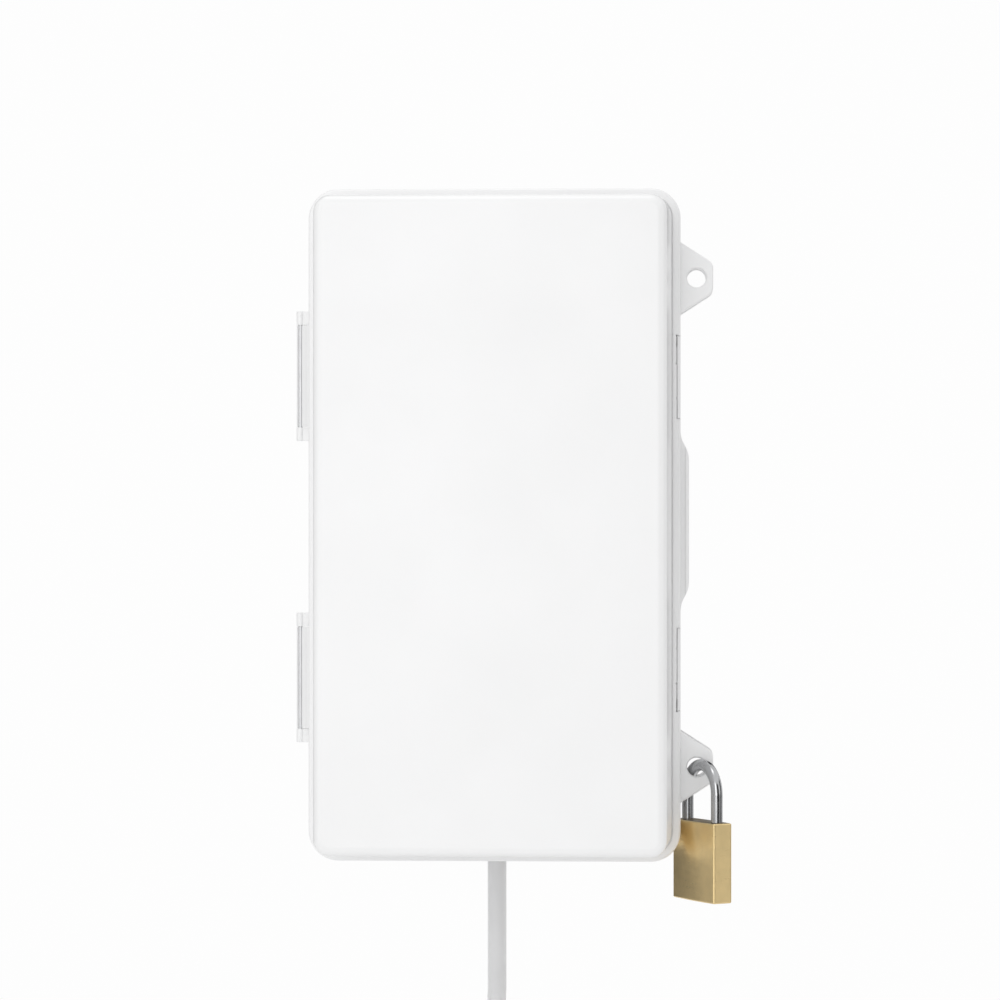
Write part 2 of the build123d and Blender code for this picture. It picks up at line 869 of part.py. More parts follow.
with BuildPart() as strip_tray:
    with BuildSketch(front_plane(strip_back)):
        strip_outline(0)
    extrude(amount=strip_split - strip_back)
    with BuildSketch(front_plane(strip_back + strip_wall)):
        strip_outline(strip_wall)
    extrude(amount=strip_split - strip_back - strip_wall, mode=Mode.SUBTRACT)
    for side in (1, -1):
        with BuildSketch(front_plane(strip_back)):
            with Locations((0, side * (strip_length + tab_length - tab_root) / 2)):
                Rectangle(tab_width, tab_length + tab_root)
            with Locations((0, side * tab_screw_height)):
                with GridLocations(tab_screw_spacing, 1, 2, 1):
                    Circle(tab_hole_radius, mode=Mode.SUBTRACT)
        extrude(amount=tab_thickness)
    with BuildSketch(level_plane(-strip_length / 2 - past_face)):
        disc(0, -cord_depth, cord_hole_radius)
    extrude(amount=strip_wall + 2 * past_face, mode=Mode.SUBTRACT)
    for height in support_heights:
        low, high = height - support_thickness / 2, height + support_thickness / 2
        with BuildSketch(front_plane(strip_back + strip_wall)):
            patch(support_inside, support_outside, low, high)
            patch(-support_outside, -support_inside, low, high)
        extrude(amount=bar_back - strip_back - strip_wall)
        with BuildSketch(front_plane(strip_back + strip_wall)):
            patch(-support_inside, support_inside, low, high)
        extrude(amount=earth_bar_back - strip_back - strip_wall)
keep(strip_tray, "strip_tray")

with BuildPart() as strip_cover:
    with BuildSketch(front_plane(strip_split)):
        strip_outline(0)
    extrude(amount=strip_front - strip_split)
    fillet(strip_cover.edges().group_by(Axis.Y)[0], strip_round)
    with BuildSketch(front_plane(strip_split)):
        strip_outline(strip_wall)
    extrude(amount=strip_front - strip_split - strip_wall, mode=Mode.SUBTRACT)
    with BuildSketch(front_plane(strip_split)):
        for height in cup_middles:
            disc(0, height, cup_outer_radius + cup_play)
        with Locations((0, switch_middle)):
            Rectangle(2 * (switch_half_width + cup_play), 2 * (switch_half_height + cup_play))
    extrude(amount=strip_front - strip_split, mode=Mode.SUBTRACT)
    with BuildSketch(level_plane(-strip_length / 2 - past_face)):
        disc(0, -cord_depth, cord_hole_radius)
    extrude(amount=strip_wall + 2 * past_face, mode=Mode.SUBTRACT)
keep(strip_cover, "strip_cover")

# Socket cups, each with two pin holes and two slots for the earth clip

for number, height in enumerate(cup_middles, start=1):
    with BuildPart() as socket_cup:
        with BuildSketch(front_plane(cup_back)):
            disc(0, height, cup_outer_radius)
        extrude(amount=strip_front - cup_back)
        with BuildSketch(front_plane(strip_front)):
            disc(0, height, cup_lip_radius)
        extrude(amount=cup_lip_height)
        fillet(socket_cup.edges().group_by(Axis.Y)[0], cup_lip_round)
        with BuildSketch(front_plane(cup_floor)):
            disc(0, height, cup_radius)
        extrude(amount=strip_front + cup_lip_height - cup_floor, mode=Mode.SUBTRACT)
        with BuildSketch(front_plane(cup_back)):
            with Locations((0, height)):
                with GridLocations(pin_spacing, 1, 2, 1):
                    Circle(cup_pin_hole_radius)
                with GridLocations(1, 2 * clip_reach, 1, 2):
                    Rectangle(cup_slot_length, cup_slot_width)
        extrude(amount=cup_floor_thickness, mode=Mode.SUBTRACT)
    keep(socket_cup, f"socket_cup_{number}")

# Brass bars with a sleeve for each pin, and the earth bar with its clips

for name, x in (("live_bar", pin_spacing / 2), ("neutral_bar", -pin_spacing / 2)):
    with BuildPart() as pin_bar:
        with BuildSketch(front_plane(bar_back)):
            patch(x - bar_sleeve_radius, x + bar_sleeve_radius, bar_bottom, bar_top)
        extrude(amount=bar_thickness)
        with BuildSketch(front_plane(bar_back)):
            for height in cup_middles:
                disc(x, height, bar_sleeve_radius)
        extrude(amount=cup_back - bar_sleeve_play - bar_back)
        with BuildSketch(front_plane(bar_back)):
            for height in cup_middles:
                disc(x, height, bar_sleeve_bore)
        extrude(amount=cup_back - bar_back, mode=Mode.SUBTRACT)
    keep(pin_bar, name)

with BuildPart() as earth_bar:
    with BuildSketch(front_plane(earth_bar_back)):
        patch(-earth_bar_width / 2, earth_bar_width / 2, bar_bottom, bar_top)
    extrude(amount=bar_thickness)
    with BuildSketch(front_plane(earth_bar_back)):
        for height in cup_middles:
            with Locations((0, height)):
                Rectangle(clip_width, earth_post_width)
    extrude(amount=clip_back - earth_bar_back)
keep(earth_bar, "earth_bar")

with BuildPart() as earth_clips:
    for height in cup_middles:
        with BuildSketch(front_plane(clip_back)):
            with Locations((0, height)):
                Rectangle(clip_width, 2 * clip_reach + bar_thickness)
        extrude(amount=bar_thickness)
        with BuildSketch(front_plane(clip_back)):
            with Locations((0, height)):
                with GridLocations(1, 2 * clip_reach, 1, 2):
                    Rectangle(clip_width, bar_thickness)
        extrude(amount=clip_front - clip_back)
keep(earth_clips, "earth_clips")

# Rocker switch

with BuildPart() as switch_frame:
    with BuildSketch(front_plane(switch_back)):
        with Locations((0, switch_middle)):
            Rectangle(2 * switch_half_width, 2 * switch_half_height)
    extrude(amount=strip_front - switch_back)
    with BuildSketch(front_plane(strip_front)):
        with Locations((0, switch_middle)):
            Rectangle(
                2 * (switch_half_width + switch_rim), 2 * (switch_half_height + switch_rim)
            )
    extrude(amount=cup_lip_height)
    fillet(switch_frame.edges().group_by(Axis.Y)[0], cup_lip_round)
    with BuildSketch(front_plane(switch_floor)):
        with Locations((0, switch_middle)):
            Rectangle(
                2 * (switch_half_width - switch_wall),
                2 * (switch_half_height - switch_end_wall),
            )
    extrude(amount=strip_front + cup_lip_height - switch_floor, mode=Mode.SUBTRACT)
    with BuildSketch(Plane.YZ.offset(-switch_half_width)):
        disc(-rocker_pivot_depth, switch_middle, rocker_pivot_radius + running_play)
    extrude(amount=2 * switch_half_width, mode=Mode.SUBTRACT)
keep(switch_frame, "switch_frame")


def rocker_plane(x):
    """The rocker's own side plane: its X is the tilted length, its Y points out of the switch."""
    tilt = radians(rocker_tilt)
    return Plane(
        origin=(x, -rocker_pivot_depth, switch_middle),
        x_dir=(0, -sin(tilt), cos(tilt)),
        z_dir=(1, 0, 0),
    )


with BuildPart() as switch_rocker:
    with BuildSketch(rocker_plane(-rocker_half_width)):
        with BuildLine():
            Line((-rocker_half, rocker_shoulder), (-rocker_half, rocker_end_height))
            ThreePointArc(
                (-rocker_half, rocker_end_height),
                (0, rocker_middle_height),
                (rocker_half, rocker_end_height),
            )
            Line((rocker_half, rocker_end_height), (rocker_half, rocker_shoulder))
            ThreePointArc(
                (rocker_half, rocker_shoulder), (0, rocker_belly), (-rocker_half, rocker_shoulder)
            )
        make_face()
    extrude(amount=2 * rocker_half_width)
    with BuildSketch(rocker_plane(-rocker_axle_x)):
        Circle(rocker_pivot_radius)
    extrude(amount=2 * rocker_axle_x)
keep(switch_rocker, "switch_rocker")

# Rubber grommet where the cord enters the strip, and the screws that hold the strip

strip_end = -strip_length / 2
grommet_steps = (
    (grommet_bottom, strip_end - contact_gap, grommet_flange_radius),
    (strip_end - contact_gap, strip_end + strip_wall + contact_gap, grommet_neck_radius),
    (strip_end + strip_wall + contact_gap, grommet_top, grommet_flange_radius),
)
with BuildPart() as strip_grommet:
    for low, high, radius in grommet_steps:
        with BuildSketch(level_plane(low)):
            disc(0, -cord_depth, radius)
            disc(0, -cord_depth, cord_radius + contact_gap, Mode.SUBTRACT)
        extrude(amount=high - low)
keep(strip_grommet, "strip_grommet")

tab_screw_places = [
    (x_side * tab_screw_spacing / 2, -strip_back - tab_thickness, z_side * tab_screw_height)
    for x_side in (-1, 1)
    for z_side in (-1, 1)
]
with BuildPart() as strip_screws:
    with Locations(*tab_screw_places):
        add(pan_screw(tab_screw_length, screw_radius, tab_screw_head))
keep(strip_screws, "strip_screws")

# The cord inside the box, and its three cores inside the strip

with BuildPart() as inner_cord:
    with BuildSketch(level_plane(gland_exit)):
        disc(0, -cord_depth, cord_radius)
    extrude(amount=inner_cord_top - gland_exit)
keep(inner_cord, "inner_cord")

pin_bar_front = bar_back + bar_thickness + core_radius
earth_bar_front = earth_bar_back + bar_thickness + core_radius
core_places = {
    "live_core": (core_start, pin_spacing / 2, pin_bar_front),
    "neutral_core": (-core_start, -pin_spacing / 2, pin_bar_front),
    "earth_core": (0.0, 0.0, earth_bar_front),
}
for name, (start_x, end_x, end_depth) in core_places.items():
    with BuildPart() as core:
        with BuildLine() as core_path:
            FilletPolyline(
                (start_x, -cord_depth, inner_cord_top + core_gap),
                (start_x, -cord_depth, inner_cord_top + core_straight),
                (end_x, -end_depth, inner_cord_top + core_reach),
                (end_x, -end_depth, bar_bottom + core_overlap),
                radius=core_bend,
            )
        with BuildSketch(Plane(origin=core_path.line @ 0, z_dir=core_path.line % 0)):
            Circle(core_radius)
        sweep()
    keep(core, name)

# Padlock: shackle, body and turning plug. It hangs by the crown in the hole of the lid's lower ear.

lock_angle = radians(lock_turn)
lock_across = (cos(lock_angle), -sin(lock_angle), 0)
front_ear_middle = front_ear_back + ear_thickness / 2
bend_rise = sqrt(shackle_bend**2 - shackle_crossing**2)
lock_x = ear_hole_x + shackle_crossing * cos(lock_angle)
lock_y = -front_ear_middle - shackle_crossing * sin(lock_angle)
bend_centre_z = ear_centres[1] + shackle_rise - bend_rise


def lock_plane(height):
    """A level plane on the padlock's axis, whose X runs from the shackle's rear leg to its front leg."""
    return Plane(origin=(lock_x, lock_y, height), x_dir=lock_across, z_dir=(0, 0, 1))


lock_upright = Plane(
    origin=(lock_x, lock_y, bend_centre_z),
    x_dir=lock_across,
    z_dir=(-sin(lock_angle), -cos(lock_angle), 0),
)
heel_end = lock_top - heel_length - bend_centre_z
toe_end = lock_top - toe_length - bend_centre_z
notch_x = shackle_bend - shackle_radius - shackle_end
with BuildPart() as padlock_shackle:
    with BuildLine(lock_upright) as shackle_path:
        Line((-shackle_bend, heel_end), (-shackle_bend, 0))
        ThreePointArc((-shackle_bend, 0), (0, shackle_bend), (shackle_bend, 0))
        Line((shackle_bend, 0), (shackle_bend, toe_end))
    with BuildSketch(lock_plane(lock_top - heel_length)):
        disc(-shackle_bend, 0, shackle_radius)
    sweep(path=shackle_path.wire())
    chamfer(padlock_shackle.edges().group_by(Axis.Z)[0], shackle_end)
    # Notches on the inner side of both legs, for the locking balls
    for side in (1, -1):
        with BuildSketch(lock_upright):
            disc(side * notch_x, toe_end + notch_height, notch_radius)
        extrude(amount=notch_half_width, both=True, mode=Mode.SUBTRACT)
keep(padlock_shackle, "padlock_shackle")

lock_bottom = lock_top - lock_height
lock_half = lock_thickness / 2
with BuildPart() as padlock_body:
    with BuildSketch(lock_plane(lock_bottom)):
        with BuildLine():
            for side in (1, -1):
                ThreePointArc(
                    (-lock_width / 2, side * (lock_half - lock_bulge)),
                    (0, side * lock_half),
                    (lock_width / 2, side * (lock_half - lock_bulge)),
                )
                Line(
                    (side * lock_width / 2, lock_half - lock_bulge),
                    (side * lock_width / 2, -lock_half + lock_bulge),
                )
        lock_face = make_face()
        fillet(lock_face.vertices(), lock_corner)
    extrude(amount=lock_height)
    chamfer(padlock_body.edges().group_by(Axis.Z)[-1], lock_edge)
    chamfer(padlock_body.edges().group_by(Axis.Z)[0], lock_edge)
    for x, depth in ((-shackle_bend, heel_length), (shackle_bend, toe_length)):
        with BuildSketch(lock_plane(lock_top - depth - hole_spare)):
            disc(x, 0, shackle_radius + shackle_play)
        extrude(amount=depth + hole_spare + past_face, mode=Mode.SUBTRACT)
    with BuildSketch(lock_plane(lock_bottom - past_face)):
        Circle(plug_radius + running_play)
    extrude(amount=plug_length + plug_end_play + past_face, mode=Mode.SUBTRACT)
keep(padlock_body, "padlock_body")

with BuildPart() as padlock_plug:
    with BuildSketch(lock_plane(lock_bottom + plug_recess)):
        Circle(plug_radius)
    extrude(amount=plug_length - plug_recess)
    chamfer(padlock_plug.edges().group_by(Axis.Z)[0], plug_edge)
    with BuildSketch(lock_plane(lock_bottom)):
        Rectangle(keyway_length, keyway_width)
        with Locations(keyway_step):
            Rectangle(*keyway_step_size)
    extrude(amount=keyway_depth, mode=Mode.SUBTRACT)
keep(padlock_plug, "padlock_plug")

# Free cord: straight down under the coil's weight, then a bend into the coil

start_angle = radians(coil_start_angle)
start_x = coil_outer * cos(start_angle)
start_z = coil_middle_z + coil_outer * sin(start_angle)
lead_x = start_x + cord_diameter * sin(start_angle)
lead_z = start_z - cord_diameter * cos(start_angle)
bend_z = lead_z + lead_x * cos(start_angle) / sin(start_angle)
cord_route = ((0, gland_exit), (0, bend_z), (lead_x, lead_z))
lower_run = sqrt(lead_x**2 + (bend_z - lead_z) ** 2)
bend_radius = bend_share * lower_run / tan((pi - start_angle) / 2)
print("cord bend radius", round(bend_radius, 1), "in diameters", round(bend_radius / cord_diameter, 1))

with BuildPart() as cord:
    with BuildLine(front_plane(cord_depth)) as cord_path:
        FilletPolyline(*cord_route, radius=bend_radius)
    with BuildSketch(level_plane(gland_exit)):
        disc(0, -cord_depth, cord_radius)
    sweep(path=cord_path.wire())
keep(cord, "cord")


def print_measures(name, piece, length):
    """Prints a tube's length, and its volume over its section times its length."""
    section = pi * cord_radius**2
    share = piece.part.volume / (section * length)
    print(name, "length", round(length, 1), "volume over section times length", round(share, 4))


print_measures("cord", cord, cord_path.wire().length)


def coil_radius(turns):
    """The distance from the coil's middle, after so many turns: steadily in, then out again."""
    return coil_outer - coil_pitch * (coil_turns_in - abs(coil_turns_in - turns))


def coil_layer(turns):
    """How far the coil has climbed to its front layer, which takes the half turn round the reversal."""
    share = min(max((turns - coil_turns_in) / coil_climb_turns + 0.5, 0), 1)
    return coil_pitch * (1 - cos(pi * share)) / 2


def coil_point(turns):
    """Where the cord's middle line is after so many turns."""
    angle = start_angle + 2 * pi * turns
    radius = coil_radius(turns)
    return Vector(
        radius * cos(angle),
        -cord_depth - coil_layer(turns),
        coil_middle_z + radius * sin(angle),
    )


def coil_direction(turns):
    """Which way the cord runs there."""
    step = 0.01
    return (coil_point(turns + step) - coil_point(turns - step)).normalized()


def add_biarc(start, start_way, end, end_way):
    """Two arcs that leave start along start_way, meet smoothly and reach end along end_way."""
    gap = end - start
    ways = start_way + end_way
    a = 2 * (1 - start_way.dot(end_way))
    b = 2 * gap.dot(ways)
    reach = (-b + sqrt(b * b + 4 * a * gap.dot(gap))) / (2 * a)
    middle = (start + start_way * reach + end - end_way * reach) / 2
    middle_way = (end - end_way * reach - start - start_way * reach).normalized()
    TangentArc(start, middle, tangent=start_way)
    TangentArc(middle, end, tangent=middle_way)


coil_turns = coil_turns_in + coil_turns_out
coil_steps = [step / steps_per_turn for step in range(int(coil_turns * steps_per_turn) + 1)]
coil_steps.append(coil_turns)
coil_ways = [coil_direction(turns) for turns in coil_steps]
coil_ways[0] = Vector(-sin(start_angle), 0, cos(start_angle))
coil_ways[-1] = Vector(0, 0, -1)
with BuildPart() as cord_coil:
    with BuildLine() as coil_path:
        first = coil_point(0)
        Line(first - coil_ways[0] * cord_diameter, first)
        for here, there, way, next_way in zip(
            coil_steps, coil_steps[1:], coil_ways, coil_ways[1:]
        ):
            add_biarc(coil_point(here), way, coil_point(there), next_way)
        last = coil_point(coil_turns)
        Line(last, last + coil_ways[-1] * cord_diameter)
    with BuildSketch(Plane(origin=coil_path.wire() @ 0, z_dir=coil_ways[0])):
        Circle(cord_radius)
    sweep(path=coil_path.wire())
keep(cord_coil, "cord_coil")
print_measures("coil", cord_coil, coil_path.wire().length)

# The coil's least gap to itself, between points over a third of a turn apart along it
sample_count = 700
samples = [coil_path.wire() @ (i / sample_count) for i in range(sample_count + 1)]
apart = int(sample_count / coil_turns / 3)
least = min(
    (samples[i] - samples[j]).length
    for i in range(sample_count + 1)
    for j in range(i + apart, sample_count + 1)
)
print("coil's least gap to itself", round(least - cord_diameter, 2))

# Two straps that hold the coil together

with BuildPart() as coil_ties:
    for tie_angle in tie_angles:
        first_pass = ((tie_angle - coil_start_angle) % 360) / 360
        laps = int(coil_turns - first_pass) + 1
        radii = [coil_radius(first_pass + lap) for lap in range(laps)]
        inside = min(radii) - cord_radius - tie_play
        outside = max(radii) + cord_radius + tie_play
        tall = coil_pitch + 2 * (cord_radius + tie_play)
        angle = radians(tie_angle)
        middle = (inside + outside) / 2
        tie_plane = Plane(
            origin=(
                middle * cos(angle),
                -cord_depth - coil_pitch / 2,
                coil_middle_z + middle * sin(angle),
            ),
            x_dir=(cos(angle), 0, sin(angle)),
            z_dir=(-sin(angle), 0, cos(angle)),
        )
        with BuildSketch(tie_plane):
            RectangleRounded(
                outside - inside + 2 * tie_thickness,
                tall + 2 * tie_thickness,
                tie_corner + tie_thickness,
            )
            RectangleRounded(outside - inside, tall, tie_corner, mode=Mode.SUBTRACT)
        extrude(amount=tie_width / 2, both=True)
keep(coil_ties, "coil_ties")

# Plug on the cord's end, hanging straight down: a grooved relief, a round body and two channels

plug_x = coil_point(coil_turns).X
plug_y = -cord_depth - coil_pitch
plug_top = coil_middle_z - cord_diameter
relief_end = plug_top - relief_length
plug_face = relief_end - plug_body_length


def relief_radius(below_top):
    """The relief's radius, so far below its top."""
    return relief_top_radius + (relief_end_radius - relief_top_radius) * below_top / relief_length


with BuildPart() as plug_body:
    with BuildSketch(Plane(origin=(plug_x, plug_y, 0), x_dir=(1, 0, 0), z_dir=(0, -1, 0))):
        with BuildLine():
            Line((0, plug_top), (relief_top_radius, plug_top))
            Line((relief_top_radius, plug_top), (relief_end_radius, relief_end))
            Spline(
                (relief_end_radius, relief_end),
                (plug_shoulder[0], relief_end - plug_shoulder[1]),
                (plug_waist_radius, relief_end - plug_waist_length),
                tangents=((1, -0.6), (0.05, -1)),
            )
            Line(
                (plug_waist_radius, relief_end - plug_waist_length),
                (plug_body_radius, relief_end - plug_step_length),
            )
            Line((plug_body_radius, relief_end - plug_step_length), (plug_body_radius, plug_face))
            Line((plug_body_radius, plug_face), (0, plug_face))
            Line((0, plug_face), (0, plug_top))
        make_face()
    revolve(axis=Axis((plug_x, plug_y, 0), (0, 0, 1)))
    for number in range(relief_grooves):
        below_top = relief_groove_pitch * (number + 0.5) + relief_groove_width / 2
        with BuildSketch(level_plane(plug_top - below_top)):
            disc(plug_x, plug_y, relief_end_radius + past_face)
            groove_floor = relief_radius(below_top) - relief_groove_depth
            disc(plug_x, plug_y, groove_floor, Mode.SUBTRACT)
        extrude(amount=relief_groove_width, mode=Mode.SUBTRACT)
    with BuildSketch(level_plane(plug_face)):
        with Locations((plug_x, plug_y)):
            with GridLocations(1, 2 * plug_body_radius, 1, 2):
                Rectangle(plug_channel_width, 2 * plug_channel_depth)
    extrude(amount=plug_channel_length, mode=Mode.SUBTRACT)
    with BuildSketch(level_plane(plug_face)):
        with Locations((plug_x, plug_y)):
            with GridLocations(pin_spacing, 1, 2, 1):
                Circle(pin_radius + fixed_play)
    extrude(amount=plug_pin_hole, mode=Mode.SUBTRACT)
keep(plug_body, "plug_body")

with BuildPart() as plug_pins:
    with BuildSketch(level_plane(plug_face - pin_length)):
        with Locations((plug_x, plug_y)):
            with GridLocations(pin_spacing, 1, 2, 1):
                Circle(pin_radius)
    extrude(amount=pin_length + plug_pin_root)
    fillet(plug_pins.edges().group_by(Axis.Z)[0], plug_pin_round)
keep(plug_pins, "plug_pins")

with BuildPart() as plug_earth_strips:
    with BuildSketch(level_plane(plug_face)):
        with Locations((plug_x, plug_y)):
            with GridLocations(1, 2 * (plug_body_radius - plug_strip_inset), 1, 2):
                Rectangle(plug_strip_width, plug_strip_thickness)
    extrude(amount=plug_strip_length)
keep(plug_earth_strips, "plug_earth_strips")
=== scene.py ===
import json
from math import ceil, cos, pi, radians, sin, sqrt

import bmesh
import bpy
from mathutils import Matrix, Vector

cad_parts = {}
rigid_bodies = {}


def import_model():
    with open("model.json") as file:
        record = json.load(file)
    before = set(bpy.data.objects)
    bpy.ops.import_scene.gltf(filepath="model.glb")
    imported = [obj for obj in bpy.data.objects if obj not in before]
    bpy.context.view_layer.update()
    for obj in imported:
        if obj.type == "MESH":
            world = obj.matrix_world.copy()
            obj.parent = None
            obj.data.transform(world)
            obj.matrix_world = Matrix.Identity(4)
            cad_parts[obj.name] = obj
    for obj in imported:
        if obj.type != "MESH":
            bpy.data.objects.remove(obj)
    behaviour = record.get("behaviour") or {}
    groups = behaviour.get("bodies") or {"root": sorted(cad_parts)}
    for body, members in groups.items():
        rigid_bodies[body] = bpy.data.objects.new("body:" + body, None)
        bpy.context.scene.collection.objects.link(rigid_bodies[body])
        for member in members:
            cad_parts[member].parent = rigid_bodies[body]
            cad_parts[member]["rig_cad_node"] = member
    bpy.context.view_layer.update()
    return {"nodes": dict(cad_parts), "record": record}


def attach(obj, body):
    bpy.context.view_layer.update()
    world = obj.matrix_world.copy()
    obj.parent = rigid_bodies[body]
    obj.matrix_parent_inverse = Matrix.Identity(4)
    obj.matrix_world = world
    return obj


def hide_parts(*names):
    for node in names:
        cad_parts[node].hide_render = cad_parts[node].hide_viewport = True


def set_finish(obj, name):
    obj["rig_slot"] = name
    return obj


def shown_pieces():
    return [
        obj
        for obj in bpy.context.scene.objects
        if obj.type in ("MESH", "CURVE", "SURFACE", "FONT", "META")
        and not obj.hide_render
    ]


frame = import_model()

# Looks of the weatherproof power strip box. Metres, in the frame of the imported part.

scene = bpy.context.scene
scene.view_settings.view_transform = "Standard"

# Camera, placed so that a 1000 x 1000 image has the photograph's framing

camera_data = bpy.data.cameras.new("camera")
camera_data.sensor_width = 36.0
camera_data.lens = 134.64
camera = bpy.data.objects.new("camera", camera_data)
camera.location = (0.082, -1.926, 0.0125)
camera.rotation_euler = (radians(90), 0, radians(2.427))
scene.collection.objects.link(camera)
scene.camera = camera


def add_object(name, data, body, slot, matrix=None):
    """Links a new piece, which rides on a body and takes its finish from a slot."""
    piece = bpy.data.objects.new(name, data)
    scene.collection.objects.link(piece)
    if matrix is not None:
        piece.matrix_world = matrix
    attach(piece, body)
    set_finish(piece, slot)
    return piece


sharp_angle = 35


def mesh_piece(name, points, faces, body, slot, matrix=None):
    """A smooth-shaded mesh piece from points and faces."""
    mesh = bpy.data.meshes.new(name)
    mesh.from_pydata([tuple(point) for point in points], [], faces)
    edit = bmesh.new()
    edit.from_mesh(mesh)
    bmesh.ops.recalc_face_normals(edit, faces=edit.faces)
    edit.to_mesh(mesh)
    edit.free()
    for polygon in mesh.polygons:
        polygon.use_smooth = True
    mesh.set_sharp_from_angle(angle=radians(sharp_angle))
    return add_object(name, mesh, body, slot, matrix)


def ring_faces(rings, around, closed):
    """Quads between rings of points, and the two ends' faces if the rings don't meet."""
    faces = []
    for ring in range(rings if closed else rings - 1):
        here, there = ring * around, (ring + 1) % rings * around
        for step in range(around):
            after = (step + 1) % around
            faces.append((here + step, here + after, there + after, there + step))
    if not closed:
        faces.append(tuple(range(around)))
        faces.append(tuple(range((rings - 1) * around, rings * around)))
    return faces


# Mains cord: the route and the coil of the part's source

cord_radius = 0.00475
cord_diameter = 2 * cord_radius
cord_depth = 0.026
gland_exit = -0.169
cord_route = ((0.0, gland_exit), (0.0, -0.26114), (-0.03571, -0.29685))
straight_end = -0.2106
coil_outer = 0.060
coil_pitch = 0.0102
coil_middle_z = -0.346
coil_turns_in = 2.0
coil_turns = 4.125
coil_climb_turns = 0.5
coil_start_angle = 135.0
points_per_turn = 24
plug_x = -0.061275
plug_y = -cord_depth - coil_pitch
plug_top = coil_middle_z - cord_diameter


def coil_point(turns):
    """Where the cord's middle line is after so many turns of the coil."""
    radius = coil_outer - coil_pitch * (coil_turns_in - abs(coil_turns_in - turns))
    share = min(max((turns - coil_turns_in) / coil_climb_turns + 0.5, 0), 1)
    layer = coil_pitch * (1 - cos(pi * share)) / 2
    angle = radians(coil_start_angle + 360 * turns)
    return (
        radius * cos(angle),
        -cord_depth - layer,
        coil_middle_z + radius * sin(angle),
    )


cord_points = [(x, -cord_depth, z) for x, z in cord_route]
cord_points.insert(1, (0.0, -cord_depth, straight_end))
coil_steps = int(coil_turns * points_per_turn)
cord_points += [coil_point(step / points_per_turn) for step in range(coil_steps + 1)]
cord_points.append((plug_x, plug_y, plug_top))

cord_curve = bpy.data.curves.new("mains_cord", "CURVE")
cord_curve.dimensions = "3D"
cord_spline = cord_curve.splines.new("NURBS")
cord_spline.points.add(len(cord_points) - 1)
for place, point in zip(cord_spline.points, cord_points):
    place.co = (*point, 1.0)
    place.radius = cord_radius
cord_spline.order_u = 3
cord_spline.use_endpoint_u = True
cord_curve.resolution_u = 8
cord_line = bpy.data.objects.new("cord_line", cord_curve)
centre_mesh = bpy.data.meshes.new_from_object(cord_line)
centre_line = [vertex.co.copy() for vertex in centre_mesh.vertices]
bpy.data.objects.remove(cord_line)
bpy.data.meshes.remove(centre_mesh)
cord_curve.bevel_depth = 1.0
cord_curve.bevel_resolution = 7
cord_curve.use_fill_caps = True
mains_cord = add_object("mains_cord", cord_curve, "base", "cord_sheath")
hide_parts("cord", "cord_coil")

# Hook and loop straps round the coil, drawn tight over the turns

straight_run = 0.1
tie_width = 0.010
tie_thickness = 0.0012
tie_gap = 0.00015
tie_overlap = 0.016
tie_rim = 0.0003
tie_lift = 0.0001
tie_spacing = 0.0008
tie_ramp_rows = 12
tie_start_rows = 4
tie_end_rows = 8
tie_angles = {"coil_strap_upper": 60.0, "coil_strap_lower": 250.0}


def sections_at(angle):
    """Where the cord crosses the half plane at that angle round the coil: (distance, depth)."""
    way = Vector((cos(angle), 0, sin(angle)))
    side = Vector((-sin(angle), 0, cos(angle)))
    middle = Vector((0, 0, coil_middle_z))
    found = []
    for here, there in zip(centre_line, centre_line[1:]):
        before, after = (here - middle).dot(side), (there - middle).dot(side)
        if before * after > 0 or before == after or (here - middle).dot(way) <= 0:
            continue
        point = here.lerp(there, before / (before - after))
        if point.z < gland_exit - straight_run:
            found.append(((point - middle).dot(way), -point.y))
    return found


def hull(points):
    """The convex hull of flat points, going round once."""
    ordered = sorted(set(points))

    def half(row):
        kept = []
        for point in row:
            while len(kept) > 1 and (kept[-1][0] - kept[-2][0]) * (point[1] - kept[-2][1]) <= (
                kept[-1][1] - kept[-2][1]
            ) * (point[0] - kept[-2][0]):
                kept.pop()
            kept.append(point)
        return kept[:-1]

    return half(ordered) + half(ordered[::-1])


def resample(outline, spacing):
    """Points a steady distance apart along a closed outline, with the outward direction at each."""
    loop = [Vector(point) for point in outline] + [Vector(outline[0])]
    total = sum((b - a).length for a, b in zip(loop, loop[1:]))
    count = ceil(total / spacing)
    places, travelled, leg = [], 0.0, 0
    for number in range(count):
        target = total * number / count
        while travelled + (loop[leg + 1] - loop[leg]).length < target:
            travelled += (loop[leg + 1] - loop[leg]).length
            leg += 1
        length = (loop[leg + 1] - loop[leg]).length
        places.append(loop[leg].lerp(loop[leg + 1], (target - travelled) / length))
    ways = []
    for number in range(count):
        run = places[(number + 1) % count] - places[number - 1]
        ways.append(Vector((run.y, -run.x)).normalized())
    return places, ways, total / count


